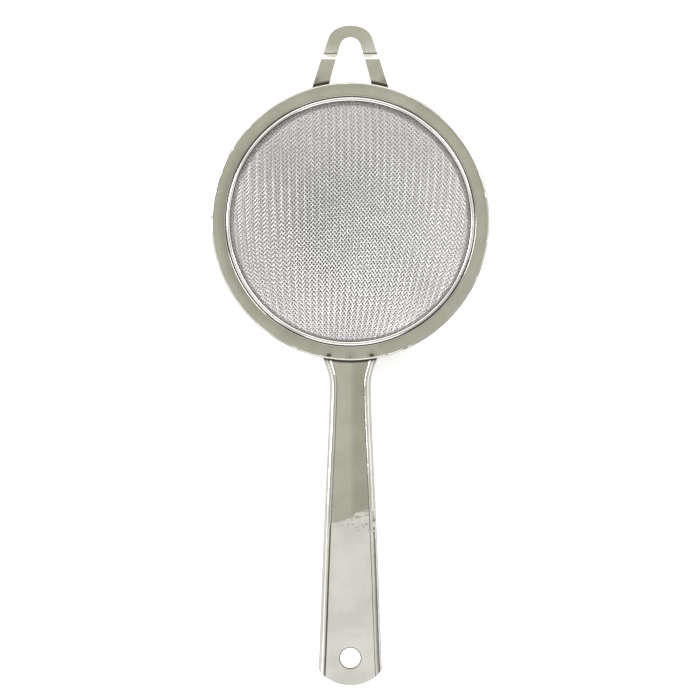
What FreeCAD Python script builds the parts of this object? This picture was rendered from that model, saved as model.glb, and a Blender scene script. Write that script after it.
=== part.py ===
import FreeCAD, Part
import os
import Sketcher

# Tea strainer in stainless steel, in millimetres. +Z is up and is the rim's axis. The origin is on
# that axis, in the plane of the underside of the front rest's legs, which lie on a cup's far edge.
# The handle runs along -Y and the front rest along +Y.

doc = FreeCAD.newDocument("tea_strainer")
dims = doc.addObject("Spreadsheet::Sheet", "dims")

DRIVING_DIMENSIONS = {
    # rim band: a pressed ring with a hemmed outer edge and a skirt turned down inside
    "rim_radius": 40.0,
    "rim_sheet": 0.4,
    "hem_gap": 0.2,
    "hem_inner_radius": 38.3,
    "dish_outer_radius": 39.3,
    "dish_centre_rise": 18.0,
    "skirt_radius": 35.85,
    "skirt_bend": 0.48,
    "skirt_bottom": -2.2,
    # clamp ring: a thin wall inside the skirt, rolled over the cut edge of the mesh
    "clamp_radius": 34.5,
    "clamp_sheet": 0.3,
    "clamp_outer_radius": 35.82,
    "clamp_bead_rise": 0.25,
    "clamp_leg": 0.35,
    "clamp_bottom": -1.9,
    # mesh bowl: a shell as thick as two crossing wires
    "mesh_radius": 35.15,
    "mesh_thickness": 0.64,
    "mesh_top": 0.95,
    "dome_start": -2.9,
    "dome_depth": 19.4,
    "dome_bend": 3.0,
    # handle: a pressed channel, wider towards its end
    "handle_sheet": 0.8,
    "root_run": 36.8,
    "root_half_width": 8.3,
    "root_height": 0.65,
    "root_rise": 0.13,
    "root_drop": 1.4,
    "edge_run": 40.0,
    "edge_half_width": 7.55,
    "edge_height": 0.7,
    "edge_rise": 0.13,
    "edge_drop": 1.6,
    "flare_run": 43.6,
    "flare_half_width": 6.3,
    "flare_height": 0.95,
    "flare_rise": 0.28,
    "flare_drop": 2.1,
    "neck_run": 49.0,
    "neck_half_width": 5.85,
    "end_run": 128.0,
    "end_half_width": 9.15,
    "tip_run": 133.4,
    "flank_width": 2.05,
    "panel_height": 1.15,
    "handle_crown": 2.4,
    "ridge_rise": 0.38,
    "ridge_inset": 0.55,
    "panel_step": 0.16,
    "shoulder_drop": 0.85,
    "flange_drop": 2.6,
    "end_arc_radius": 11.9,
    "end_arc_half_width": 7.1,
    "end_corner_run": 128.9,
    "end_trim": 2.6,
    "hang_hole_radius": 2.95,
    "hang_hole_run": 125.5,
    "hang_hole_round": 0.2,
    # front rest: a flat loop, stepped down outside the rim
    "rest_root_run": 36.8,
    "rest_bend_run": 47.0,
    "rest_step_angle": 55.0,
    "rest_step_drop": 2.1,
    "rest_lead_angle": 20.0,
    "rest_tip_run": 56.95,
    "rest_half_width": 11.8,
    "rest_foot_run": 35.86,
    "rest_lean": 17.4,
    "rest_crown_radius": 9.0,
    "rest_corner_radius": 5.0,
    "rest_opening_tip": 53.5,
    "rest_opening_radius": 3.08,
    "rest_opening_lean": 15.0,
    "rest_bend_round": 0.9,
    "rest_crease_round": 0.25,
    "rest_trim": 0.2,
    # spot welds: a nugget in matching recesses of the two sheets it joins
    "nugget_radius": 0.9,
    "nugget_height": 0.5,
    "handle_weld_offset": 6.2,
    "handle_weld_run": 38.45,
    "handle_middle_weld_run": 38.95,
    "rest_weld_offset": 9.1,
    "rest_weld_run": 38.1,
    "mark_radius": 0.55,
    "mark_depth": 0.18,
}

for row, (alias, size) in enumerate(DRIVING_DIMENSIONS.items(), start=1):
    dims.set(f"A{row}", alias.replace("_", " "))
    dims.set(f"B{row}", str(size))
    dims.setAlias(f"B{row}", alias)
doc.recompute()

# Heights and radii that several pieces share, as formulas in the sheet's own names.
HEM_RADIUS = "(dims.rim_sheet + dims.hem_gap / 2)"
BAND_TOP = "(dims.handle_sheet + 2 * dims.rim_sheet + dims.hem_gap)"
BEAD_RADIUS = "((dims.clamp_outer_radius - dims.clamp_radius) / 2)"
BEAD_CENTRE = f"({BAND_TOP} + dims.clamp_bead_rise - {BEAD_RADIUS})"

# What a section of the handle is given by, in the order its stations list them.
STATION_SIZES = ["run", "half_width", "height", "rise", "drop"]

# Where each weld lies in plan, and the level of its nugget's top.
HANDLE_WELDS = [
    ("-dims.handle_weld_offset", "-dims.handle_weld_run"),
    ("0", "-dims.handle_middle_weld_run"),
    ("dims.handle_weld_offset", "-dims.handle_weld_run"),
]
REST_WELDS = [
    ("-dims.rest_weld_offset", "dims.rest_weld_run"),
    ("dims.rest_weld_offset", "dims.rest_weld_run"),
]
NUGGET_TOP = "(dims.handle_sheet + dims.nugget_height / 2)"

# A sketch's own numbers for its origin, for the points of an edge and for the turn of an arc.
ORIGIN = -1
START, END, CENTRE = 1, 2, 3
LEFT_TURN, RIGHT_TURN = 1, -1


def value(formula):
    """The number that a formula in the sheet's names gives."""
    return float(dims.evalExpression(formula))


def new_body(label):
    body = doc.addObject("PartDesign::Body", label)
    body.Label = label
    body.Placement = FreeCAD.Placement()
    return body


def new_sketch(body, name, role, distance=None):
    """A sketch on one of the body's origin planes, moved along its normal by a formula."""
    sketch = body.newObject("Sketcher::SketchObject", f"{body.Name}_{name}")
    plane = next(f for f in body.Origin.OriginFeatures if f.Role == role)
    sketch.AttachmentSupport = [(plane, "")]
    sketch.MapMode = "FlatFace"
    if distance is not None:
        sketch.setExpression("AttachmentOffset.Base.z", distance)
    return sketch


def constrain(sketch, kind, *where, formula=None):
    """Add one constraint, with its size bound to a formula where it has one."""
    if formula is None:
        sketch.addConstraint(Sketcher.Constraint(kind, *where))
        return
    size = value(formula)
    index = sketch.addConstraint(Sketcher.Constraint(kind, *where, size))
    sketch.setExpression(f"Constraints[{index}]", formula)


def place(sketch, geometry, point, x, y):
    constrain(sketch, "DistanceX", ORIGIN, START, geometry, point, formula=x)
    constrain(sketch, "DistanceY", ORIGIN, START, geometry, point, formula=y)


def arc_through(begin, end, known_axis, known, turn):
    """The arc from begin to end whose centre has one known coordinate."""
    middle = (begin + end) * 0.5
    chord = end - begin
    across = FreeCAD.Vector(-chord.y, chord.x, 0)
    if known_axis == "x":
        share = (known - middle.x) / across.x
    else:
        share = (known - middle.y) / across.y
    centre = middle + across * share
    circle = Part.Circle(centre, FreeCAD.Vector(0, 0, 1), (begin - centre).Length)
    if turn == LEFT_TURN:
        return Part.ArcOfCircle(circle, circle.parameter(begin), circle.parameter(end))
    return Part.ArcOfCircle(circle, circle.parameter(end), circle.parameter(begin))


def closed_outline(sketch, corners):
    """Close an outline through corners given as formulas.

    A corner is (x, y), with a straight edge to the next one, or (x, y, axis, known, turn), with an
    arc whose centre has the known coordinate on that axis.
    """
    points = [FreeCAD.Vector(value(c[0]), value(c[1]), 0) for c in corners]
    edges = []
    for index, corner in enumerate(corners):
        begin = points[index]
        end = points[(index + 1) % len(corners)]
        if len(corner) == 2:
            geometry = sketch.addGeometry(Part.LineSegment(begin, end))
            edges.append((geometry, START, END))
            continue
        axis, known, turn = corner[2:]
        geometry = sketch.addGeometry(arc_through(begin, end, axis, value(known), turn))
        first, last = (START, END) if turn == LEFT_TURN else (END, START)
        edges.append((geometry, first, last))
        kind = "DistanceX" if axis == "x" else "DistanceY"
        constrain(sketch, kind, ORIGIN, START, geometry, CENTRE, formula=known)
    for index, (geometry, first, last) in enumerate(edges):
        following = edges[(index + 1) % len(edges)]
        constrain(sketch, "Coincident", geometry, last, following[0], following[1])
        place(sketch, geometry, first, corners[index][0], corners[index][1])


def circle_at(sketch, x, y, radius):
    circle = Part.Circle(
        FreeCAD.Vector(value(x), value(y), 0), FreeCAD.Vector(0, 0, 1), value(radius)
    )
    geometry = sketch.addGeometry(circle)
    constrain(sketch, "Radius", geometry, formula=radius)
    place(sketch, geometry, CENTRE, x, y)


def revolve(body, sketch):
    """Turn a section once round the rim's axis."""
    turned = body.newObject("PartDesign::Revolution", f"{body.Name}_turned")
    turned.Profile = sketch
    turned.ReferenceAxis = (sketch, ["V_Axis"])
    turned.Angle = 360.0
    doc.recompute()


def cut(body, sketch, depth, *, both_sides=False, upwards=False):
    """Cut a sketch of the plan into the piece, downwards unless told otherwise."""
    faces_before = len(body.Shape.Faces)
    pocket = body.newObject("PartDesign::Pocket", f"{sketch.Name}_cut")
    pocket.Profile = sketch
    pocket.Midplane = both_sides
    pocket.Reversed = upwards
    pocket.setExpression("Length", depth)
    doc.recompute()
    if len(body.Shape.Faces) == faces_before:
        raise RuntimeError(f"{sketch.Name} cut nothing")


def cut_through(body, sketch):
    cut(body, sketch, "4 * dims.rim_radius", both_sides=True)


def round_edges(body, name, radius, chosen):
    """Round the edges of the body's last feature that the test chooses."""
    base = body.Tip
    names = [f"Edge{i}" for i, edge in enumerate(base.Shape.Edges, start=1) if chosen(edge)]
    if not names:
        raise RuntimeError(f"{name} found no edge")
    rounded = body.newObject("PartDesign::Fillet", f"{body.Name}_{name}")
    rounded.Base = (base, names)
    rounded.setExpression("Radius", radius)
    doc.recompute()


def make_rim_band():
    """Section of the ring: dished top, bend and skirt inside, hem folded back under outside."""
    body = new_body("rim_band")
    sketch = new_sketch(body, "section", "XZ_Plane")
    fold = f"dims.rim_radius - {HEM_RADIUS}"
    bend = "dims.skirt_radius + dims.skirt_bend"
    skirt_back = "dims.skirt_radius + dims.rim_sheet"
    under = f"{BAND_TOP} - dims.rim_sheet"
    bend_level = f"{BAND_TOP} - dims.skirt_bend"
    dish = f"{BAND_TOP} + dims.dish_centre_rise"
    hem_top = "dims.handle_sheet + dims.rim_sheet"
    corners = [
        (fold, BAND_TOP),
        ("dims.dish_outer_radius", BAND_TOP, "y", dish, RIGHT_TURN),
        (bend, BAND_TOP, "x", bend, LEFT_TURN),
        ("dims.skirt_radius", bend_level),
        ("dims.skirt_radius", "dims.skirt_bottom"),
        (skirt_back, "dims.skirt_bottom"),
        (skirt_back, bend_level, "x", bend, RIGHT_TURN),
        (bend, under, "y", dish, LEFT_TURN),
        ("dims.dish_outer_radius", under),
        (fold, under, "x", fold, RIGHT_TURN),
        (fold, hem_top),
        ("dims.hem_inner_radius", hem_top),
        ("dims.hem_inner_radius", "dims.handle_sheet"),
        (fold, "dims.handle_sheet", "x", fold, LEFT_TURN),
    ]
    closed_outline(sketch, corners)
    revolve(body, sketch)
    return body


def make_clamp_ring():
    """Section of the ring: a wall inside the mesh, rolled over to a short leg outside it."""
    body = new_body("clamp_ring")
    sketch = new_sketch(body, "section", "XZ_Plane")
    wall_back = "dims.clamp_radius + dims.clamp_sheet"
    leg_face = "dims.clamp_outer_radius - dims.clamp_sheet"
    leg_end = f"{BEAD_CENTRE} - dims.clamp_leg"
    corners = [
        ("dims.clamp_radius", "dims.clamp_bottom"),
        (wall_back, "dims.clamp_bottom"),
        (wall_back, BEAD_CENTRE, "y", BEAD_CENTRE, RIGHT_TURN),
        (leg_face, BEAD_CENTRE),
        (leg_face, leg_end),
        ("dims.clamp_outer_radius", leg_end),
        ("dims.clamp_outer_radius", BEAD_CENTRE, "y", BEAD_CENTRE, LEFT_TURN),
        ("dims.clamp_radius", BEAD_CENTRE),
    ]
    closed_outline(sketch, corners)
    revolve(body, sketch)
    return body


def make_mesh_bowl():
    """A shell as thick as the weave: a short upright edge, then a spherical dome."""
    body = new_body("mesh_bowl")
    sketch = new_sketch(body, "section", "XZ_Plane")
    inside = "dims.mesh_radius - dims.mesh_thickness / 2"
    outside = "dims.mesh_radius + dims.mesh_thickness / 2"
    bottom = "dims.dome_start - dims.dome_depth"
    corners = [
        ("0", f"{bottom} + dims.mesh_thickness / 2", "x", "0", LEFT_TURN),
        (inside, "dims.dome_start"),
        (inside, "dims.mesh_top"),
        (outside, "dims.mesh_top"),
        (outside, "dims.dome_start", "x", "0", RIGHT_TURN),
        ("0", f"{bottom} - dims.mesh_thickness / 2"),
    ]
    closed_outline(sketch, corners)
    revolve(body, sketch)
    for name, radius, bend in (
        ("inner_bend", inside, "dims.dome_bend - dims.mesh_thickness / 2"),
        ("outer_bend", outside, "dims.dome_bend + dims.mesh_thickness / 2"),
    ):
        rim = value(radius)
        level = value("dims.dome_start")
        round_edges(body, name, bend, lambda edge: is_ring(edge, rim, level))
    return body


def is_ring(edge, radius, level):
    """Whether an edge is the circle of that radius at that height."""
    if edge.Degenerated or not isinstance(edge.Curve, Part.Circle):
        return False
    return abs(edge.Curve.Radius - radius) < 0.01 and abs(edge.Curve.Center.z - level) < 0.01


def channel_section(sketch, half_width, top, rise, drop):
    """Section of the handle: recessed panel, round shoulders and flanges turned down."""
    sheet = "dims.handle_sheet"
    panel = f"({half_width} - dims.flank_width)"
    ridge = f"({panel} + dims.ridge_inset)"
    ridge_top = f"({top} + {rise})"
    shoulder = f"({top} - dims.shoulder_drop)"
    foot = f"({top} - {drop})"
    panel_back = f"({panel} + dims.panel_step)"
    inner_width = f"({half_width} - {sheet})"
    corners = [
        (panel, top, "x", ridge, RIGHT_TURN),
        (ridge, ridge_top, "x", ridge, RIGHT_TURN),
        (half_width, shoulder),
        (half_width, foot),
        (inner_width, foot),
        (inner_width, shoulder, "x", ridge, LEFT_TURN),
        (ridge, f"{ridge_top} - {sheet}", "x", ridge, LEFT_TURN),
        (panel_back, f"{top} - {sheet}"),
    ]
    mirrored = []
    for index in range(len(corners) - 1, -1, -1):
        x, y = corners[index][:2]
        arc = corners[index - 1][2:] if index > 0 else ()
        if arc:
            mirrored.append((f"-{x}", y, "x", f"-{arc[1]}", arc[2]))
        else:
            mirrored.append((f"-{x}", y))
    closed_outline(sketch, corners + mirrored)


def handle_stations():
    """Sections of the handle: run along -Y, half width, panel height, ridge rise, flange drop.

    The first three shape the root, which is wide and low to pass under the rim's edge and flares
    in to the neck. The rest widen evenly from the neck to the end, over a low crown.
    """
    stations = [
        tuple(f"dims.root_{size}" for size in STATION_SIZES),
        tuple(f"dims.edge_{size}" for size in STATION_SIZES),
        tuple(f"dims.flare_{size}" for size in STATION_SIZES),
    ]
    widening = "(dims.end_half_width - dims.neck_half_width) / (dims.end_run - dims.neck_run)"
    for share in (0.0, 0.3, 0.65, 1.0):
        along = f"{share} * (dims.tip_run + dims.end_trim - dims.neck_run)"
        half_width = f"(dims.neck_half_width + {along} * {widening})"
        height = f"(dims.panel_height + 4 * dims.handle_crown * {share} * (1 - {share}))"
        run = f"(dims.neck_run + {along})"
        stations.append((run, half_width, height, "dims.ridge_rise", "dims.flange_drop"))
    return stations


def trim_handle_end(body):
    """Cut the end to its outline: a shallow arc across the panel and a chamfer on each flange."""
    sketch = new_sketch(body, "end_outline", "XY_Plane")
    wide = "dims.end_half_width + dims.end_trim"
    beyond = "-dims.tip_run - 2 * dims.end_trim"
    arc_sag = "dims.end_arc_radius - sqrt(dims.end_arc_radius ^ 2 - dims.end_arc_half_width ^ 2)"
    arc_end = f"-dims.tip_run + {arc_sag}"
    arc_centre = "-dims.tip_run + dims.end_arc_radius"
    corners = [
        (f"-({wide})", beyond),
        (wide, beyond),
        (wide, "-dims.end_corner_run"),
        ("dims.end_half_width", "-dims.end_corner_run"),
        ("dims.end_arc_half_width", arc_end, "y", arc_centre, RIGHT_TURN),
        ("-dims.end_arc_half_width", arc_end),
        ("-dims.end_half_width", "-dims.end_corner_run"),
        (f"-({wide})", "-dims.end_corner_run"),
    ]
    closed_outline(sketch, corners)
    cut_through(body, sketch)


def make_handle():
    body = new_body("handle")
    sections = []
    for index, (run, half_width, height, rise, drop) in enumerate(handle_stations()):
        sketch = new_sketch(body, f"section_{index}", "XZ_Plane", run)
        channel_section(sketch, half_width, height, rise, drop)
        sections.append(sketch)
    channel = body.newObject("PartDesign::AdditiveLoft", "handle_channel")
    channel.Profile = sections[0]
    channel.Sections = sections[1:]
    doc.recompute()
    trim_handle_end(body)
    hole = new_sketch(body, "hang_hole", "XY_Plane")
    circle_at(hole, "0", "-dims.hang_hole_run", "dims.hang_hole_radius")
    cut_through(body, hole)
    radius = value("dims.hang_hole_radius")
    run = value("dims.hang_hole_run")
    round_edges(
        body, "hang_hole_round", "dims.hang_hole_round", lambda edge: is_hole(edge, radius, run)
    )
    recess_welds(body, HANDLE_WELDS, NUGGET_TOP, "dims.nugget_height")
    return body


def is_hole(edge, radius, run):
    """Whether an edge goes round the hang hole."""
    if edge.Degenerated:
        return False
    box = edge.BoundBox
    centred = abs(box.Center.x) < 0.05 and abs(box.Center.y + run) < 0.05
    return centred and abs(box.XLength - 2 * radius) < 0.1


def make_front_rest():
    """A loop blanked from flat sheet, then stepped down outside the rim and turned out level."""
    body = new_body("front_rest")
    side = new_sketch(body, "side", "YZ_Plane")
    sheet = "dims.handle_sheet"
    step = "dims.rest_step_angle"
    lead = "dims.rest_lead_angle"
    crease_run = f"(dims.rest_bend_run + dims.rest_step_drop / tan({step}))"
    crease_top = f"({sheet} - dims.rest_step_drop)"
    tip = "(dims.rest_tip_run + dims.rest_trim)"
    tip_top = f"({crease_top} - ({tip} - {crease_run}) * tan({lead} / 2))"
    lean = f"(({step} + {lead}) / 2)"
    offset = f"({sheet} / cos(({step} - {lead}) / 2))"
    corners = [
        ("dims.rest_root_run", sheet),
        ("dims.rest_bend_run", sheet),
        (crease_run, crease_top, "x", tip, LEFT_TURN),
        (tip, tip_top),
        (tip, f"{tip_top} - {sheet}", "x", tip, RIGHT_TURN),
        (f"{crease_run} - {offset} * sin({lean})", f"{crease_top} - {offset} * cos({lean})"),
        (f"dims.rest_bend_run - {sheet} * tan({step} / 2)", "0"),
        ("dims.rest_root_run", "0"),
    ]
    closed_outline(side, corners)
    strip = body.newObject("PartDesign::Pad", "front_rest_strip")
    strip.Profile = side
    strip.Midplane = True
    strip.setExpression("Length", "2 * (dims.rest_half_width + dims.rest_trim)")
    doc.recompute()
    bend = value("dims.rest_bend_run")
    crease = value(crease_run)
    sheet_size = value(sheet)
    crease_level = value(crease_top)
    round_edges(
        body, "bend_round", "dims.rest_bend_round", lambda e: is_bend(e, bend, sheet_size)
    )
    round_edges(
        body, "crease_round", "dims.rest_crease_round", lambda e: is_bend(e, crease, crease_level)
    )
    cut_through(body, loop_surround(body))
    cut_through(body, loop_opening(body))
    recess_welds(body, REST_WELDS, NUGGET_TOP, "dims.nugget_height")
    return body


def is_bend(edge, run, level):
    """Whether an edge lies straight across the strip at that run and height."""
    if edge.Degenerated:
        return False
    box = edge.BoundBox
    across = box.XLength > 1 and box.YLength < 0.01 and box.ZLength < 0.01
    return across and abs(box.Center.y - run) < 0.01 and abs(box.Center.z - level) < 0.01


def line_between(sketch, begin, end):
    return sketch.addGeometry(Part.LineSegment(FreeCAD.Vector(*begin), FreeCAD.Vector(*end)))


def arc_between(sketch, centre, radius, first_degrees, last_degrees):
    circle = Part.Circle(FreeCAD.Vector(*centre), FreeCAD.Vector(0, 0, 1), radius)
    first = FreeCAD.Units.Quantity(f"{first_degrees} deg").getValueAs("rad").Value
    last = FreeCAD.Units.Quantity(f"{last_degrees} deg").getValueAs("rad").Value
    return sketch.addGeometry(Part.ArcOfCircle(circle, first, last))


def loop_surround(body):
    """Everything round the loop's outer outline: tapering legs under a three-centred arch.

    The arch is drawn near its place, and the tangencies and bound sizes then move it there.
    """
    sketch = new_sketch(body, "surround", "XY_Plane")
    half = value("dims.rest_half_width")
    foot = value("dims.rest_foot_run")
    tip = value("dims.rest_tip_run")
    crown = value("dims.rest_crown_radius")
    corner = value("dims.rest_corner_radius")
    lean = value("dims.rest_lean")
    base = line_between(sketch, (-half, foot, 0), (half, foot, 0))
    right = line_between(sketch, (half, foot, 0), (0.6 * half, 0.9 * tip, 0))
    arch_right = arc_between(sketch, (2, tip - corner - 0.5, 0), corner, -lean, 65)
    arch_top = arc_between(sketch, (0, tip - crown, 0), crown, 65, 115)
    arch_left = arc_between(sketch, (-2, tip - corner - 0.5, 0), corner, 115, 180 + lean)
    left = line_between(sketch, (-0.6 * half, 0.9 * tip, 0), (-half, foot, 0))
    constrain(sketch, "Coincident", base, END, right, START)
    constrain(sketch, "Coincident", left, END, base, START)
    constrain(sketch, "Tangent", right, END, arch_right, START)
    constrain(sketch, "Tangent", arch_right, END, arch_top, START)
    constrain(sketch, "Tangent", arch_top, END, arch_left, START)
    constrain(sketch, "Tangent", arch_left, END, left, START)
    place(sketch, base, START, "-dims.rest_half_width", "dims.rest_foot_run")
    place(sketch, base, END, "dims.rest_half_width", "dims.rest_foot_run")
    place(sketch, arch_top, CENTRE, "0", "dims.rest_tip_run - dims.rest_crown_radius")
    constrain(sketch, "Radius", arch_top, formula="dims.rest_crown_radius")
    constrain(sketch, "Radius", arch_right, formula="dims.rest_corner_radius")
    constrain(sketch, "Radius", arch_left, formula="dims.rest_corner_radius")
    constrain(sketch, "Angle", right, formula="(90 + dims.rest_lean) * 1 deg")
    constrain(sketch, "Angle", left, formula="(-90 - dims.rest_lean) * 1 deg")
    far = 2 * half
    frame = [(-far, 0, 0), (far, 0, 0), (far, 2 * tip, 0), (-far, 2 * tip, 0)]
    for index, begin in enumerate(frame):
        line_between(sketch, begin, frame[(index + 1) % 4])
    return sketch


def loop_opening(body):
    """The opening between the legs: straight sides that lean in to a round top.

    Its foot is drawn wider than it is, and the tangencies and bound sizes then draw it in.
    """
    sketch = new_sketch(body, "opening", "XY_Plane")
    foot = value("dims.rest_foot_run")
    radius = value("dims.rest_opening_radius")
    centre = value("dims.rest_opening_tip - dims.rest_opening_radius")
    lean = value("dims.rest_opening_lean")
    base = line_between(sketch, (-2 * radius, foot, 0), (2 * radius, foot, 0))
    right = line_between(sketch, (2 * radius, foot, 0), (radius, centre, 0))
    top = arc_between(sketch, (0, centre, 0), radius, lean, 180 - lean)
    left = line_between(sketch, (-radius, centre, 0), (-2 * radius, foot, 0))
    constrain(sketch, "Coincident", base, END, right, START)
    constrain(sketch, "Coincident", left, END, base, START)
    constrain(sketch, "Tangent", right, END, top, START)
    constrain(sketch, "Tangent", top, END, left, START)
    place(sketch, top, CENTRE, "0", "dims.rest_opening_tip - dims.rest_opening_radius")
    constrain(sketch, "Radius", top, formula="dims.rest_opening_radius")
    for point in (START, END):
        constrain(
            sketch, "DistanceY", ORIGIN, START, base, point, formula="dims.rest_foot_run"
        )
    constrain(sketch, "Angle", right, formula="(90 + dims.rest_opening_lean) * 1 deg")
    constrain(sketch, "Angle", left, formula="(-90 - dims.rest_opening_lean) * 1 deg")
    return sketch


def recess_welds(body, places, level, depth, *, upwards=False):
    """Sink a round recess at each weld, from a level downwards or upwards."""
    sketch = new_sketch(body, "weld_recess", "XY_Plane", level)
    for x, y in places:
        circle_at(sketch, x, y, "dims.nugget_radius")
    cut(body, sketch, depth, upwards=upwards)


def mark_welds(body):
    """The shallow pits that the welding tip leaves on the band, one above each handle weld."""
    sketch = new_sketch(body, "weld_marks", "XY_Plane", BAND_TOP)
    for x, y in HANDLE_WELDS:
        circle_at(sketch, x, y, "dims.mark_radius")
    cut(body, sketch, "dims.mark_depth")


def make_nuggets(label, places):
    """Weld nuggets as a group of separate solids."""
    nuggets = []
    for index, (x, y) in enumerate(places):
        nugget = doc.addObject("Part::Cylinder", f"{label}_{index}")
        nugget.setExpression("Radius", "dims.nugget_radius")
        nugget.setExpression("Height", "dims.nugget_height")
        nugget.setExpression("Placement.Base.x", x)
        nugget.setExpression("Placement.Base.y", y)
        nugget.setExpression("Placement.Base.z", f"{NUGGET_TOP} - dims.nugget_height")
        nuggets.append(nugget)
    group = doc.addObject("Part::Compound", label)
    group.Label = label
    group.Links = nuggets
    doc.recompute()
    return group


rim_band = make_rim_band()
hem_welds = HANDLE_WELDS + REST_WELDS
recess_welds(rim_band, hem_welds, "dims.handle_sheet", "dims.nugget_height / 2", upwards=True)
mark_welds(rim_band)
pieces = [
    rim_band,
    make_clamp_ring(),
    make_mesh_bowl(),
    make_handle(),
    make_front_rest(),
    make_nuggets("handle_spot_welds", HANDLE_WELDS),
    make_nuggets("front_rest_spot_welds", REST_WELDS),
]

doc.recompute()
for item in doc.Objects:
    if "Invalid" in item.State or "Error" in item.State:
        raise RuntimeError(f"{item.Label} did not compute: {item.State}")
for piece in pieces:
    if piece.Shape.isNull() or not piece.Shape.isValid():
        raise RuntimeError(f"{piece.Label} has no valid shape")

os.makedirs("parts", exist_ok=True)
for piece in pieces:
    piece.Shape.exportStep(os.path.join("parts", f"{piece.Label}.step"))
    box = piece.Shape.optimalBoundingBox()
    size = " x ".join(f"{length:.2f}" for length in (box.XLength, box.YLength, box.ZLength))
    print(f"{piece.Label}: {piece.Shape.Volume:.1f} mm3, {size}, {len(piece.Shape.Solids)} solid(s)")
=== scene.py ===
import math

import bpy
import numpy as np
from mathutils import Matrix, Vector


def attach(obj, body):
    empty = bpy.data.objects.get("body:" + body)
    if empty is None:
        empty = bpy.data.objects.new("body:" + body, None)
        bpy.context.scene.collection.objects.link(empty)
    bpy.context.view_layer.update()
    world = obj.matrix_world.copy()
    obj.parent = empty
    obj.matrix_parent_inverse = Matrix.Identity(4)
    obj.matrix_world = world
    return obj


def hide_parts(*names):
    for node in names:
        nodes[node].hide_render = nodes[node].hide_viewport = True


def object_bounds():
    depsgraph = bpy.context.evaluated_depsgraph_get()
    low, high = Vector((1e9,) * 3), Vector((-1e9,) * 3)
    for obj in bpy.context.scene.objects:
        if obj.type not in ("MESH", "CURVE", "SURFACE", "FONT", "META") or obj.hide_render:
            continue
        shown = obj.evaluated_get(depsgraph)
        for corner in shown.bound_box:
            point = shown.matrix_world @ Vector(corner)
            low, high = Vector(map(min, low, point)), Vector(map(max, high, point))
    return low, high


MM = 0.001
MM_IN_M = (1000, 1000, 1000)

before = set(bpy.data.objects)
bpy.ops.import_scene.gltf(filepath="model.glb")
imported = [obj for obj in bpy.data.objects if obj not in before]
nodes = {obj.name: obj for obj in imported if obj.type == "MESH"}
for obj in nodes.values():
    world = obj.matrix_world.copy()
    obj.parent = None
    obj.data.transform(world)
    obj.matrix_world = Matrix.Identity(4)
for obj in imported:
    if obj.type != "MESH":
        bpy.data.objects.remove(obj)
cad_low, cad_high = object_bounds()
scene = bpy.context.scene


# ---------------------------------------------------------------- shader helpers


class Shader:
    """Makes and links the nodes of one material or world."""

    def __init__(self, tree):
        self.tree = tree
        tree.nodes.clear()

    def node(self, kind, **settings):
        made = self.tree.nodes.new(kind)
        for name, setting in settings.items():
            setattr(made, name, setting)
        return made

    def feed(self, socket, source):
        if isinstance(source, bpy.types.NodeSocket):
            self.tree.links.new(source, socket)
        elif source is not None:
            socket.default_value = source

    def math(self, operation, first, second=None, third=None):
        made = self.node("ShaderNodeMath", operation=operation)
        for index, source in enumerate((first, second, third)):
            self.feed(made.inputs[index], source)
        return made.outputs[0]

    def vector(self, operation, first, second=None):
        made = self.node("ShaderNodeVectorMath", operation=operation)
        self.feed(made.inputs[0], first)
        self.feed(made.inputs[1], second)
        return made.outputs["Value" if operation in ("LENGTH", "DISTANCE", "DOT_PRODUCT") else "Vector"]

    def combine(self, x, y, z):
        made = self.node("ShaderNodeCombineXYZ")
        for index, source in enumerate((x, y, z)):
            self.feed(made.inputs[index], source)
        return made.outputs[0]

    def split(self, vector):
        made = self.node("ShaderNodeSeparateXYZ")
        self.feed(made.inputs[0], vector)
        return made.outputs[0], made.outputs[1], made.outputs[2]

    def across(self, first, second):
        """Length of the vector with these two parts."""
        squares = (self.math("MULTIPLY", first, first), self.math("MULTIPLY", second, second))
        return self.math("SQRT", self.math("ADD", *squares))

    def ramp(self, value, low, high, to_low=0.0, to_high=1.0, smooth=True):
        """value from low..high to to_low..to_high, held at the ends."""
        made = self.node("ShaderNodeMapRange", interpolation_type="SMOOTHSTEP" if smooth else "LINEAR")
        for name, source in zip(
            ("Value", "From Min", "From Max", "To Min", "To Max"), (value, low, high, to_low, to_high)
        ):
            self.feed(made.inputs[name], source)
        return made.outputs["Result"]

    def noise(self, vector, scale, detail=3.0, roughness=0.5):
        made = self.node("ShaderNodeTexNoise")
        self.feed(made.inputs["Vector"], vector)
        self.feed(made.inputs["Scale"], scale)
        self.feed(made.inputs["Detail"], detail)
        self.feed(made.inputs["Roughness"], roughness)
        return made.outputs["Fac"]

    def mix(self, share, first, second):
        made = self.node("ShaderNodeMix", data_type="RGBA")
        self.feed(made.inputs["Factor"], share)
        self.feed(made.inputs[6], first)
        self.feed(made.inputs[7], second)
        return made.outputs[2]


# Dark steel for the painted shade on steep faces.
STEEP_FACE_SHADE = (0.13, 0.115, 0.10, 1.0)
# One dark brown colour for heat tint at the welds and for painted shade in grooves, creases, corners and
# under the hem.
HEAT_TINT_AND_SHADE = (0.075, 0.052, 0.038, 1.0)
# Painted shade between the wires.
WIRE_SHADE = (0.24, 0.21, 0.20, 1.0)
# Painted shade on the floor under the bowl.
SHADE_AT_CENTRE = (0.17, 0.148, 0.143, 1.0)
SHADE_OUTSIDE = (0.32, 0.285, 0.278, 1.0)
PAPER = ((0.90, 0.90, 0.90, 1.0), (0.93, 0.93, 0.93, 1.0))
OPENING_LIGHT = (1.0, 0.985, 0.86, 1.0)
WALL_LIGHT = (1.0, 1.0, 0.985, 1.0)


def grey(level, warmth=0.0):
    """A near-neutral colour; warmth takes blue away."""
    return (level, level * (1 - 0.15 * warmth), level * (1 - warmth), 1.0)


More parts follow.
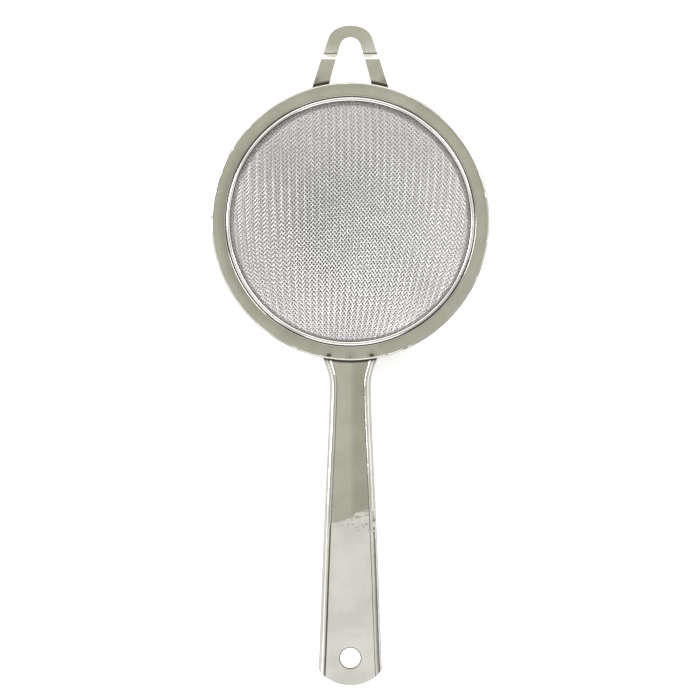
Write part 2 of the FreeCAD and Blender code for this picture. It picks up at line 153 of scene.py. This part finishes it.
def steel(name, level, warmth, roughness, grain, relief, tint=None, dents=None, steep=0.72):
    """Polished steel with a grain, with painted shade on its steep faces.

    grain(shader, place) gives the vector that the grain's noise reads; tint(shader, place) gives a
    share of a dark brown colour that paints heat tint and painted shade, and dents(shader, place) a height in
    millimetres. steep is how dark the painted shade on steep faces gets.
    """
    material = bpy.data.materials.new(name)
    material.use_nodes = True
    s = Shader(material.node_tree)
    place = s.vector("MULTIPLY", s.node("ShaderNodeTexCoord").outputs["Object"], MM_IN_M)
    lines = s.noise(grain(s, place), 1.0, detail=5.0, roughness=0.65)
    clouds = s.noise(place, 0.11, detail=3.0)
    smears = s.noise(s.vector("MULTIPLY", place, (0.5, 0.18, 0.5)), 1.0, detail=4.0, roughness=0.6)
    shader = s.node("ShaderNodeBsdfPrincipled")
    shader.inputs["Metallic"].default_value = 1.0
    colour = s.mix(s.ramp(clouds, 0.3, 0.7), grey(level * 0.90, warmth), grey(level * 1.04, warmth * 0.8))
    colour = s.mix(s.ramp(lines, 0.35, 0.75, 0.0, 0.22), colour, grey(level * 0.86, warmth * 1.3))
    _x, _y, facing_up = s.split(s.node("ShaderNodeTexCoord").outputs["Normal"])
    # Painted shade: faces that turn away from straight up are darkened towards a dark steel colour.
    colour = s.mix(s.ramp(facing_up, 0.45, 0.80, steep, 0.0), colour, STEEP_FACE_SHADE)
    # Heat tint and painted shade, mixed in as one dark brown colour.
    if tint is not None:
        colour = s.mix(tint(s, place), colour, HEAT_TINT_AND_SHADE)
    s.feed(shader.inputs["Base Color"], colour)
    rough = s.ramp(lines, 0.3, 0.75, roughness * 0.8, roughness * 1.35, smooth=False)
    rough = s.math("ADD", rough, s.ramp(smears, 0.5, 0.75, 0.0, roughness * 0.45))
    s.feed(shader.inputs["Roughness"], rough)
    height = s.math("MULTIPLY", lines, relief)
    height = s.math("ADD", height, s.math("MULTIPLY", clouds, relief * 3))
    if dents is not None:
        height = s.math("ADD", height, dents(s, place))
    bump = s.node("ShaderNodeBump")
    bump.inputs["Strength"].default_value = 1.0
    bump.inputs["Distance"].default_value = MM
    s.feed(bump.inputs["Height"], height)
    s.feed(shader.inputs["Normal"], bump.outputs[0])
    s.feed(s.node("ShaderNodeOutputMaterial").inputs["Surface"], shader.outputs[0])
    return material


def along_handle(s, place):
    """Lengthwise brushing."""
    return s.vector("MULTIPLY", place, (9.0, 0.12, 9.0))


def round_rim(s, place):
    """Streaks that run round the rim's axis."""
    x, y, z = s.split(place)
    radius = s.across(x, y)
    angle = s.math("ARCTAN2", y, x)
    spread = s.math("MULTIPLY", radius, 7.0)
    return s.combine(spread, s.math("MULTIPLY", angle, 5.0), s.math("MULTIPLY", z, 7.0))


def near_points(s, place, points, inner, outer):
    """1 near any of the points in plan, falling to 0."""
    x, y, _z = s.split(place)
    share = None
    for px, py in points:
        far = s.across(s.math("SUBTRACT", x, px), s.math("SUBTRACT", y, py))
        near = s.ramp(far, inner, outer, 1.0, 0.0)
        share = near if share is None else s.math("MAXIMUM", share, near)
    return share


# ---------------------------------------------------------------- woven wire

# The cloth is a 2/2 twill on the bias: two families of wires at about 53 degrees either side of X.
# Lengths are in millimetres. A wire's centre line rises and falls by LIFT about the middle surface.
WIRE = 0.38
LIFT = 0.13
SIDES = 6
POINTS_PER_PITCH = 3
SHORTEST_RUN = 4
RIGHT_PITCH = 0.892
LEFT_PITCH = 0.811
RIGHT_ANGLE = 52.7
LEFT_ANGLE = -52.7
# A first wire's turn, in degrees for each radian along it, and the cloth's stretch towards its edge.
RIGHT_BOW = 5.3
LEFT_BOW = 18.3
STRETCH = 7.1e-5

# The bowl's middle surface: an upright edge, a bend and a sphere.
MESH_RADIUS = 35.15
MESH_TOP = 0.95
DOME_START = -2.9
DOME_DEPTH = 19.4
DOME_BEND = 3.0
SPHERE = (MESH_RADIUS**2 + DOME_DEPTH**2) / (2 * DOME_DEPTH)
SPHERE_Z = DOME_START - DOME_DEPTH + SPHERE
BEND_R = MESH_RADIUS - DOME_BEND
BEND_ANGLE = math.asin(BEND_R / (SPHERE - DOME_BEND))
BEND_Z = SPHERE_Z - (SPHERE - DOME_BEND) * math.cos(BEND_ANGLE)
ARC_ON_SPHERE = SPHERE * BEND_ANGLE
ARC_ON_BEND = DOME_BEND * (math.pi / 2 - BEND_ANGLE)
ARC_TO_TOP = ARC_ON_SPHERE + ARC_ON_BEND + MESH_TOP - BEND_Z


def bowl_point(arc):
    """Radius, height and outward normal (radial, upward) of the bowl's middle surface."""
    on_sphere = arc < ARC_ON_SPHERE
    angle = np.where(on_sphere, arc / SPHERE, BEND_ANGLE + (arc - ARC_ON_SPHERE) / DOME_BEND)
    angle = np.minimum(angle, math.pi / 2)
    upright = np.maximum(arc - ARC_ON_SPHERE - ARC_ON_BEND, 0)
    radius = np.where(on_sphere, SPHERE * np.sin(angle), BEND_R + DOME_BEND * np.sin(angle))
    height = np.where(on_sphere, SPHERE_Z - SPHERE * np.cos(angle), BEND_Z - DOME_BEND * np.cos(angle))
    return radius, height + upright, np.sin(angle), -np.cos(angle)


def line_from_pole(degrees, step, count, bow):
    """Directions from the dome's centre to points a step apart, on a line that turns bow degrees a radian."""
    place = np.array([0.0, 0.0, -1.0])
    ahead = np.array([math.cos(math.radians(degrees)), math.sin(math.radians(degrees)), 0.0])
    turn = math.radians(bow) * step
    line = [place]
    for _ in range(count):
        ahead = ahead * math.cos(turn) + np.cross(place, ahead) * math.sin(turn)
        place, ahead = (
            place * math.cos(step) + ahead * math.sin(step),
            ahead * math.cos(step) - place * math.sin(step),
        )
        line.append(place)
    return np.array(line)


def woven_net():
    """Crossings of the cloth as directions from the dome's centre, [left wire, right wire].

    A woven cloth keeps its wires' spacing and takes a dome's shape by shearing. So each crossing
    follows from its three inner neighbours, by a half turn about the middle of two of them.
    """
    right = int(ARC_TO_TOP / RIGHT_PITCH) + 2
    left = int(ARC_TO_TOP / LEFT_PITCH) + 2
    net = np.zeros((2 * left + 1, 2 * right + 1, 3))
    for sr in (1, -1):
        for sl in (1, -1):
            quarter = np.zeros((left + 1, right + 1, 3))
            quarter[0] = line_from_pole(
                RIGHT_ANGLE if sr > 0 else RIGHT_ANGLE + 180, RIGHT_PITCH / SPHERE, right, RIGHT_BOW * sr
            )
            quarter[:, 0] = line_from_pole(
                LEFT_ANGLE if sl > 0 else LEFT_ANGLE + 180, LEFT_PITCH / SPHERE, left, LEFT_BOW * sl
            )
            for total in range(2, right + left + 1):
                rows = np.arange(max(1, total - right), min(left, total - 1) + 1)
                columns = total - rows
                middle = quarter[rows - 1, columns] + quarter[rows, columns - 1]
                middle /= np.linalg.norm(middle, axis=1)[:, None]
                inner = quarter[rows - 1, columns - 1]
                quarter[rows, columns] = 2 * (inner * middle).sum(1)[:, None] * middle - inner
            net[left::sl, right::sr][: left + 1, : right + 1] = quarter
    return net


def cloth_points(net):
    """Crossings on the middle surface, outward normals, and which crossings lie on the bowl."""
    flat = np.hypot(net[..., 0], net[..., 1])
    arc = SPHERE * np.arctan2(flat, -net[..., 2])
    arc = arc + STRETCH * arc**3
    radius, height, out, up = bowl_point(arc)
    flat = np.maximum(flat, 1e-9)
    x, y = net[..., 0] / flat, net[..., 1] / flat
    points = np.stack([radius * x, radius * y, height], -1)
    normals = np.stack([out * x, out * y, up], -1)
    return points, normals, arc < ARC_TO_TOP


def wire_runs(points, normals, inside, side):
    """Centre lines of one family's wires, over two and under two, with their normals.

    points is [wire, crossing]. A smooth curve runs through the crossings of each wire.
    """
    runs = []
    for index in range(len(points)):
        kept = np.flatnonzero(inside[index])
        if len(kept) < SHORTEST_RUN:
            continue
        p = points[index, kept[0] : kept[-1] + 1]
        n = normals[index, kept[0] : kept[-1] + 1]
        t = np.linspace(0, len(p) - 1, (len(p) - 1) * POINTS_PER_PITCH + 1)
        low = np.minimum(t.astype(int), len(p) - 2)
        s = (t - low)[:, None]
        a, b, c, d = (p[np.clip(low + k, 0, len(p) - 1)] for k in (-1, 0, 1, 2))
        square, cube = 2 * a - 5 * b + 4 * c - d, 3 * b - a - 3 * c + d
        line = 0.5 * (2 * b + (c - a) * s + square * s**2 + cube * s**3)
        normal = n[low] * (1 - s) + n[low + 1] * s
        normal /= np.linalg.norm(normal, axis=1)[:, None]
        wave = np.clip(1.42 * np.cos(math.pi / 2 * (t + kept[0] + index - 0.5)), -1, 1)
        runs.append((line - normal * (side * LIFT * wave)[:, None], normal))
    return runs


def tube_mesh(name, runs):
    """Round wires along the runs, as one mesh."""
    around = np.linspace(0, 2 * math.pi, SIDES, endpoint=False)
    verts, faces, count = [], [], 0
    for line, normal in runs:
        ahead = np.gradient(line, axis=0)
        ahead /= np.linalg.norm(ahead, axis=1)[:, None]
        across = np.cross(ahead, normal)
        across /= np.linalg.norm(across, axis=1)[:, None]
        up = np.cross(across, ahead)
        ring = line[:, None] + WIRE / 2 * (
            np.cos(around)[None, :, None] * across[:, None] + np.sin(around)[None, :, None] * up[:, None]
        )
        verts.append(ring.reshape(-1, 3))
        first = count + np.arange(len(line) - 1)[:, None] * SIDES
        this, after = first + np.arange(SIDES), first + (np.arange(SIDES) + 1) % SIDES
        faces.append(np.stack([this, after, after + SIDES, this + SIDES], -1).reshape(-1, 4))
        count += len(line) * SIDES
    verts, faces = np.concatenate(verts) * MM, np.concatenate(faces)
    mesh = bpy.data.meshes.new(name)
    mesh.vertices.add(len(verts))
    mesh.vertices.foreach_set("co", verts.astype(np.float32).ravel())
    mesh.loops.add(faces.size)
    mesh.loops.foreach_set("vertex_index", faces.astype(np.int32).ravel())
    mesh.polygons.add(len(faces))
    mesh.polygons.foreach_set("loop_start", np.arange(0, faces.size, 4, dtype=np.int32))
    mesh.update()
    mesh.shade_smooth()
    made = bpy.data.objects.new(name, mesh)
    scene.collection.objects.link(made)
    return made


def wire_material(name, level, warmth, roughness):
    """Drawn steel wire, with painted shade where it sinks between the other wires and near the clamp ring."""
    material = bpy.data.materials.new(name)
    material.use_nodes = True
    s = Shader(material.node_tree)
    place = s.vector("MULTIPLY", s.node("ShaderNodeTexCoord").outputs["Object"], MM_IN_M)
    x, y, z = s.split(place)
    radius = s.across(x, y)
    from_dome = s.vector("DISTANCE", place, (0.0, 0.0, SPHERE_Z))
    from_bend = s.vector("DISTANCE", s.combine(radius, 0.0, z), (BEND_R, 0.0, BEND_Z))
    edge_of_dome = s.math("MULTIPLY", s.math("SUBTRACT", SPHERE_Z, z), math.tan(BEND_ANGLE))
    on_bend = s.math("LESS_THAN", edge_of_dome, radius)
    proud = s.math("SUBTRACT", from_dome, SPHERE)
    at_bend = s.math("SUBTRACT", from_bend, DOME_BEND)
    proud = s.math("ADD", proud, s.math("MULTIPLY", on_bend, s.math("SUBTRACT", at_bend, proud)))
    # Painted shade: darker where the wire sinks towards the cloth's middle surface, between the other wires.
    crevice_and_clamp_shade = s.math("MULTIPLY", s.ramp(s.math("ABSOLUTE", proud), 0.0, 0.12, 1.0, 0.0), 0.55)
    # Painted shade on the wires near the clamp ring.
    crevice_and_clamp_shade = s.math("MAXIMUM", crevice_and_clamp_shade, s.ramp(radius, 33.65, 34.15, 0.0, 0.75))
    shader = s.node("ShaderNodeBsdfPrincipled")
    shader.inputs["Metallic"].default_value = 0.85
    clouds = s.noise(place, 0.35, detail=2.0)
    specks = s.noise(place, 3.0, detail=3.0)
    colour = s.mix(s.ramp(clouds, 0.35, 0.65), grey(level * 0.93, warmth * 1.2), grey(level, warmth))
    colour = s.mix(s.ramp(specks, 0.55, 0.75, 0.0, 0.3), colour, grey(level * 0.7, warmth * 1.6))
    colour = s.mix(crevice_and_clamp_shade, colour, WIRE_SHADE)
    s.feed(shader.inputs["Base Color"], colour)
    s.feed(shader.inputs["Roughness"], s.ramp(specks, 0.3, 0.7, roughness * 0.8, roughness * 1.4))
    s.feed(s.node("ShaderNodeOutputMaterial").inputs["Surface"], shader.outputs[0])
    return material


def weave_bowl():
    """Each family of wires in two pieces, in place of the plain bowl."""
    points, normals, inside = cloth_points(woven_net())
    right = wire_runs(points, normals, inside, 1)
    left = wire_runs(points.transpose(1, 0, 2), normals.transpose(1, 0, 2), inside.T, -1)
    wire_steel = wire_material("mesh_wire_steel", 0.98, 0.0, 0.26)
    for family, runs in (("right", right), ("left", left)):
        half = len(runs) // 2
        for part, some in (("a", runs[:half]), ("b", runs[half:])):
            piece = tube_mesh(f"mesh_wires_{family}_{part}", some)
            piece.data.materials.append(wire_steel)
            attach(piece, "root")
            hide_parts("mesh_bowl")


weave_bowl()


# ---------------------------------------------------------------- sheet steel

# Places in plan, in millimetres.
MIDDLE_WELD = (0.0, -38.95)
HANDLE_WELDS = [(-6.2, -38.45), MIDDLE_WELD, (6.2, -38.45)]
HANDLE_CORNERS = [(-7.4, -40.2), (7.4, -40.2)]
REST_LEG_ROOTS = [(-10.3, 39.8), (10.3, 39.8)]
HANG_HOLE = (0.0, -125.5)


def plan_radius(s, place):
    """Distance from the rim's axis."""
    x, y, _z = s.split(place)
    return s.across(x, y)


def rim_scorch_and_shade(s, place):
    """Scorched weld marks, painted shade in the groove beside the clamp ring, and darker round the outer
    edge.
    """
    squeezed = s.vector("MULTIPLY", place, (0.62, 1.0, 1.0))
    marks = near_points(s, squeezed, [(-3.8, -38.45), (3.8, -38.45)], 0.3, 0.7)
    middle = near_points(s, place, [MIDDLE_WELD], 0.1, 0.45)
    halo = s.math("MULTIPLY", near_points(s, place, HANDLE_WELDS, 0.6, 2.4), 0.14)
    radius = plan_radius(s, place)
    # Painted shade in the groove beside the clamp ring.
    groove = s.ramp(radius, 36.15, 36.6, 0.45, 0.0)
    edge = s.ramp(radius, 39.75, 39.97, 0.0, 0.35)
    marks = s.math("MAXIMUM", s.math("MULTIPLY", marks, 0.85), s.math("MULTIPLY", middle, 0.5))
    return s.math("MAXIMUM", s.math("MAXIMUM", marks, halo), s.math("MAXIMUM", groove, edge))


def clamp_painted_shade(s, place):
    """Painted shade down the ring's inner wall."""
    return s.ramp(plan_radius(s, place), 34.6, 34.85, 0.8, 0.0)


def rest_scorch_and_shade(s, place):
    """Heat tint and painted shade at the roots of the legs, painted shade under the hem, and a painted shade
    line in the step's crease.
    """
    # Heat tint and painted shade round the roots of the legs.
    darkening = s.math("MULTIPLY", near_points(s, place, REST_LEG_ROOTS, 0.6, 3.0), 0.4)
    _x, y, _z = s.split(place)
    crease = s.math("MULTIPLY_ADD", s.noise(place, 0.6), 0.5, 48.35)
    off_crease = s.math("ABSOLUTE", s.math("SUBTRACT", y, crease))
    # Painted shade in the step's crease.
    darkening = s.math("MAXIMUM", darkening, s.ramp(off_crease, 0.10, 0.38, 0.75, 0.0))
    # Painted shade where the legs pass under the rim's hem.
    return s.math("MAXIMUM", darkening, s.ramp(plan_radius(s, place), 40.6, 41.3, 0.95, 0.0))


def rest_dents(s, place):
    """The tip is pressed flatter towards its end."""
    _x, y, _z = s.split(place)
    from_end = s.math("MINIMUM", s.math("SUBTRACT", 57.0, y), 8.6)
    return s.math("MULTIPLY", s.math("MULTIPLY", from_end, from_end), -0.0125)


def handle_painted_shade(s, place):
    """Painted shade under the hem, round the hang hole's edge, in the corners beside the panel and on the
    flanks that face in towards the handle's middle.
    """
    # Painted shade in the corners beside the panel.
    darkening = s.math("MULTIPLY", near_points(s, place, HANDLE_CORNERS, 0.3, 1.8), 0.35)
    # Painted shade round the hang hole's edge.
    darkening = s.math("MAXIMUM", darkening, near_points(s, place, [HANG_HOLE], 3.05, 3.3))
    x, _y, _z = s.split(place)
    # Painted shade on the flanks that face in towards the handle's middle.
    lean, _ny, _nz = s.split(s.node("ShaderNodeTexCoord").outputs["Normal"])
    inward = s.math("MULTIPLY", s.math("SIGN", x), s.math("MULTIPLY", lean, -1.0))
    darkening = s.math("MAXIMUM", darkening, s.ramp(inward, 0.12, 0.40, 0.0, 0.5))
    # Painted shadow where the handle passes under the rim's hem.
    return s.math("MAXIMUM", darkening, s.ramp(plan_radius(s, place), 40.35, 40.95, 0.95, 0.0))


def handle_dents(s, place):
    """The panel is creased softly along its middle, and its lower part falls away towards the end."""
    x, y, _z = s.split(place)
    crease = s.math("MULTIPLY", s.math("SQRT", s.math("ADD", s.math("MULTIPLY", x, x), 0.5)), 0.07)
    along = s.math("MULTIPLY", y, -1.0)
    ragged = s.math("MULTIPLY", s.math("SUBTRACT", s.noise(place, 0.4, detail=2.0), 0.5), 3.0)
    ragged = s.math("MULTIPLY", ragged, s.ramp(along, 84.0, 98.0, 1.0, 0.0))
    start = s.math("ADD", s.math("MULTIPLY_ADD", x, -0.45, 85.0), ragged)
    beyond = s.math("SUBTRACT", along, start)
    fall = s.math("ADD", beyond, s.math("SQRT", s.math("ADD", s.math("MULTIPLY", beyond, beyond), 0.4)))
    crease = s.math("MULTIPLY", crease, s.ramp(along, 82.0, 100.0, 1.0, 0.0))
    return s.math("ADD", crease, s.math("MULTIPLY", fall, -0.06))


looks = {
    "rim_band": steel("rim_steel", 0.80, 0.10, 0.10, round_rim, 0.0012, tint=rim_scorch_and_shade),
    "clamp_ring": steel("clamp_steel", 0.88, 0.05, 0.09, round_rim, 0.0008, tint=clamp_painted_shade),
    "handle": steel(
        "handle_steel", 0.83, 0.10, 0.11, along_handle, 0.0010, tint=handle_painted_shade, dents=handle_dents
    ),
    "front_rest": steel(
        "rest_steel", 0.83, 0.10, 0.14, along_handle, 0.0016, tint=rest_scorch_and_shade, dents=rest_dents, steep=0.0
    ),
    "handle_spot_welds": steel("handle_weld_steel", 0.42, 0.25, 0.35, round_rim, 0.004),
    "front_rest_spot_welds": steel("rest_weld_steel", 0.42, 0.25, 0.35, round_rim, 0.004),
}
for node, material in looks.items():
    nodes[node].data.materials.clear()
    nodes[node].data.materials.append(material)


# ---------------------------------------------------------------- floor, light and camera


def floor_material():
    """White paper with a soft brown-grey shade painted on it under the bowl."""
    material = bpy.data.materials.new("floor_white")
    material.use_nodes = True
    s = Shader(material.node_tree)
    place = s.node("ShaderNodeTexCoord").outputs["Object"]
    shader = s.node("ShaderNodeBsdfPrincipled")
    shader.inputs["Roughness"].default_value = 0.7
    off_centre = s.vector("LENGTH", place)
    # Painted shade: a darker disc under the bowl, darkest at its centre.
    shade = s.ramp(off_centre, 0.037, 0.041, 1.0, 0.0)
    dark = s.mix(s.ramp(off_centre, 0.006, 0.026), SHADE_AT_CENTRE, SHADE_OUTSIDE)
    white = s.mix(s.noise(place, 4.0), *PAPER)
    s.feed(shader.inputs["Base Color"], s.mix(shade, white, dark))
    shader.inputs["Emission Color"].default_value = (1.0, 1.0, 1.0, 1.0)
    s.feed(shader.inputs["Emission Strength"], s.math("MULTIPLY", s.math("SUBTRACT", 1.0, shade), 0.25))
    s.feed(s.node("ShaderNodeOutputMaterial").inputs["Surface"], shader.outputs[0])
    return material


FLOOR_RADIUS = 4.0
FLOOR_GAP = 0.0001
bpy.ops.mesh.primitive_circle_add(
    vertices=96, radius=FLOOR_RADIUS, fill_type="NGON", location=(0, 0, cad_low.z - FLOOR_GAP)
)
floor = bpy.context.object
floor.name = "floor"
floor.data.materials.append(floor_material())


# Dark gaps in the tent's walls: bearing and half width in degrees, and the share of light left.
WALL_GAPS = ((-26, 11, 0.28), (-50, 13, 0.12), (-120, 7, 0.35))
OVERHEAD_LIGHT = 0.80


def light_tent():
    """A white tent with a grey opening overhead, a dim horizon and dark gaps low at the handle's side."""
    world = bpy.data.worlds.new("tent")
    scene.world = world
    world.use_nodes = True
    s = Shader(world.node_tree)
    way = s.node("ShaderNodeTexCoord").outputs["Generated"]
    x, y, z = s.split(way)
    level_out = s.math("SQRT", s.math("SUBTRACT", 1.001, s.math("MULTIPLY", z, z)))
    endwise = s.math("DIVIDE", s.math("ABSOLUTE", y), level_out)
    walls = s.math("MULTIPLY", s.ramp(z, 0.40, 0.60, 0.58, 1.0), s.ramp(endwise, 0.40, 0.90, 1.3, 2.0))
    walls = s.math("MULTIPLY", walls, s.ramp(z, 0.0, 0.10, 0.6, 1.0))
    for bearing, half_width, left in WALL_GAPS:
        bearing = math.radians(bearing)
        along_x = s.math("MULTIPLY", x, math.cos(bearing))
        along_y = s.math("MULTIPLY", y, math.sin(bearing))
        toward = s.math("DIVIDE", s.math("ADD", along_x, along_y), level_out)
        wide, narrow = (math.cos(math.radians(half_width * part)) for part in (1.25, 0.75))
        walls = s.math("MULTIPLY", walls, s.ramp(toward, wide, narrow, 1.0, left))
    high = s.ramp(z, 0.66, 0.86)
    walls = s.math("MULTIPLY", walls, s.math("SUBTRACT", 1.0, high))
    light = s.math("ADD", walls, s.math("MULTIPLY", high, OVERHEAD_LIGHT))
    inside = s.math("MULTIPLY", s.ramp(x, -0.24, 0.02, 0.36, 0.52), s.ramp(y, -0.10, 0.22, 0.97, 1.08))
    opening = s.vector("DISTANCE", way, Vector((0.0, 0.10, 1.0)).normalized())
    share = s.ramp(opening, 0.22, 0.36)
    inside = s.math("MULTIPLY", inside, s.math("SUBTRACT", 1.0, share))
    light = s.math("ADD", s.math("MULTIPLY", light, share), inside)
    background = s.node("ShaderNodeBackground")
    s.feed(background.inputs["Color"], s.mix(share, OPENING_LIGHT, WALL_LIGHT))
    s.feed(background.inputs["Strength"], light)
    s.feed(s.node("ShaderNodeOutputWorld").inputs["Surface"], background.outputs[0])


light_tent()


def area_light(name, place, power):
    """A round soft light that faces the rim's centre."""
    data = bpy.data.lights.new(name, "AREA")
    data.shape = "DISK"
    data.size = 0.5
    data.energy = power
    made = bpy.data.objects.new(name, data)
    made.location = place
    made.rotation_euler = (-Vector(place)).to_track_quat("-Z", "Y").to_euler()
    scene.collection.objects.link(made)


area_light("softbox_left", (-0.9, 0.25, 0.8), 4.2)
area_light("softbox_right", (0.7, 0.5, 0.9), 3.4)

# The camera looks straight down. FRAME_FIT is the picture's length over the part's.
CAMERA_HEIGHT = 0.62
FRAME_FIT = 1.0523
length = cad_high.y - cad_low.y
centre = (cad_low + cad_high) / 2
camera_data = bpy.data.cameras.new("camera")
camera_data.sensor_width = 36.0
camera_data.lens = camera_data.sensor_width * (CAMERA_HEIGHT - cad_high.z) / (length * FRAME_FIT)
camera_data.clip_start = 0.01
camera = bpy.data.objects.new("camera", camera_data)
camera.location = (centre.x - 0.0001, centre.y + 0.00125, CAMERA_HEIGHT)
scene.collection.objects.link(camera)
scene.camera = camera
scene.view_settings.view_transform = "Standard"
